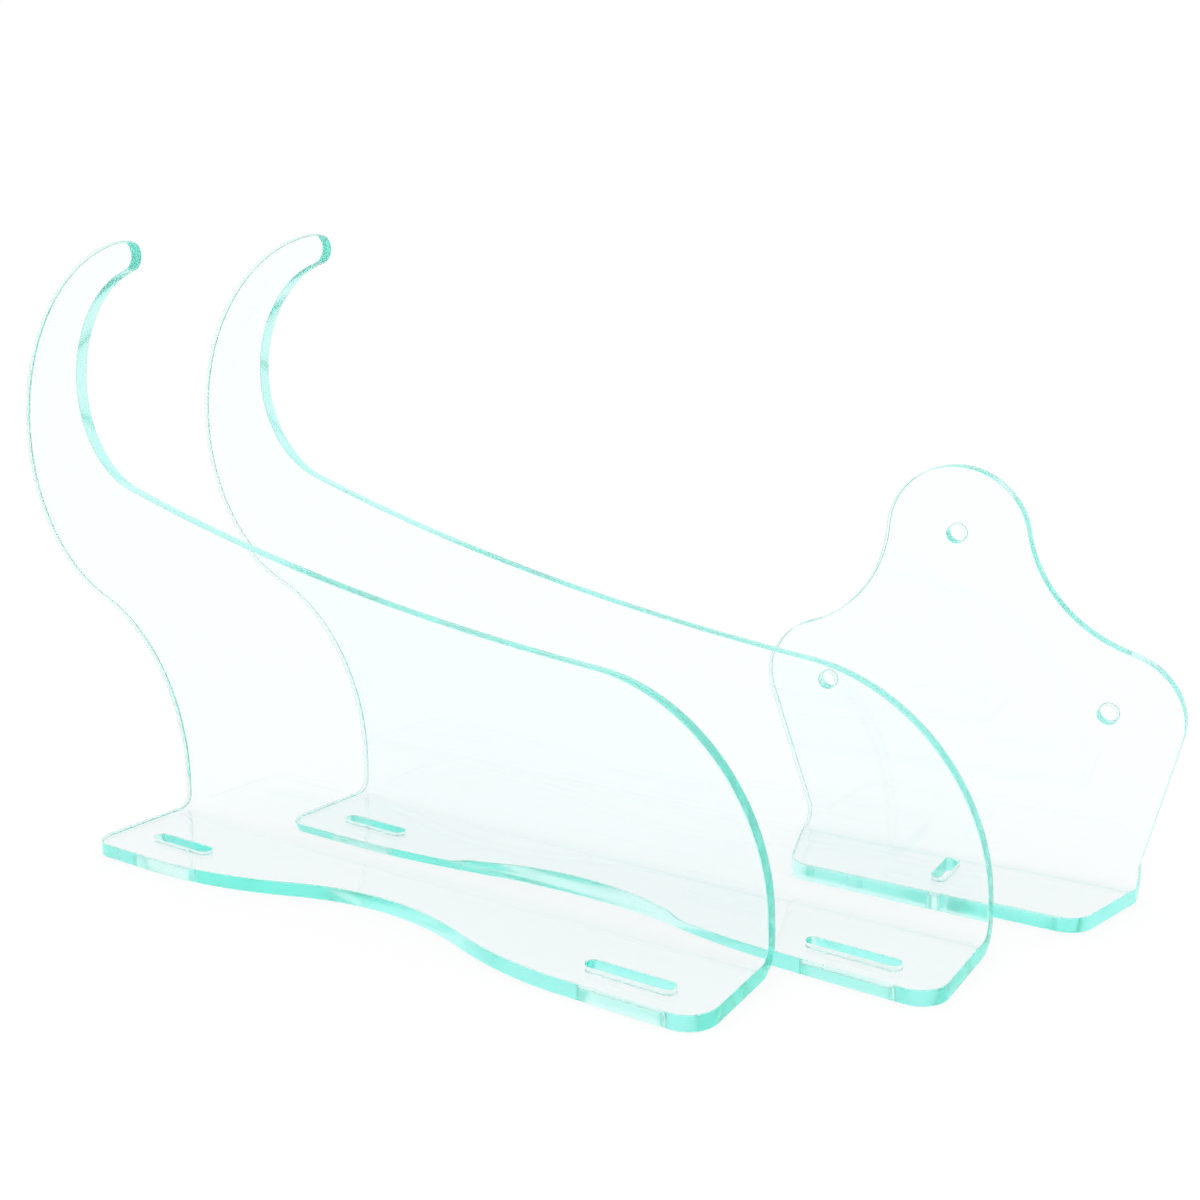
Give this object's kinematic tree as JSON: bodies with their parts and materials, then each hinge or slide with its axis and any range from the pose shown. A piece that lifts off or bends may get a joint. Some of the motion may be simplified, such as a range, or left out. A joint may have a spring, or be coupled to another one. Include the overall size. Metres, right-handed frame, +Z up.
{
  "type": "acrylic bracket set",
  "caption": "Clear line-bent acrylic brackets: horned wing plates with a round crook and slotted feet, and a bell-shaped screw plate with a slotted foot.",
  "frame": {"origin": "floor under the middle of the whole set's bounding box", "axes": "+X along the near wing's bend from horn to low end, -Y the way the feet point, +Z up from the floor"},
  "size_m": [0.4654, 0.1639, 0.2422],
  "materials": {
    "clear_acrylic": "clear, polished, green-tinted edges"
  },
  "bodies": {
    "near_wing_body": {"near_wing": "clear_acrylic"},
    "far_wing_body": {"far_wing": "clear_acrylic"},
    "bell_body": {"bell_bracket": "clear_acrylic"}
  },
  "joints": [
    {"name": "far_wing_slot_slide", "type": "slide", "parent": "near_wing_body", "child": "far_wing_body", "axis": [0.9994, -0.0358, 0], "range_m": [-0.0135, 0.0135]},
    {"name": "bell_slot_slide", "type": "slide", "parent": "near_wing_body", "child": "bell_body", "axis": [0, 1, 0], "range_m": [-0.008, 0.008]}
  ]
}
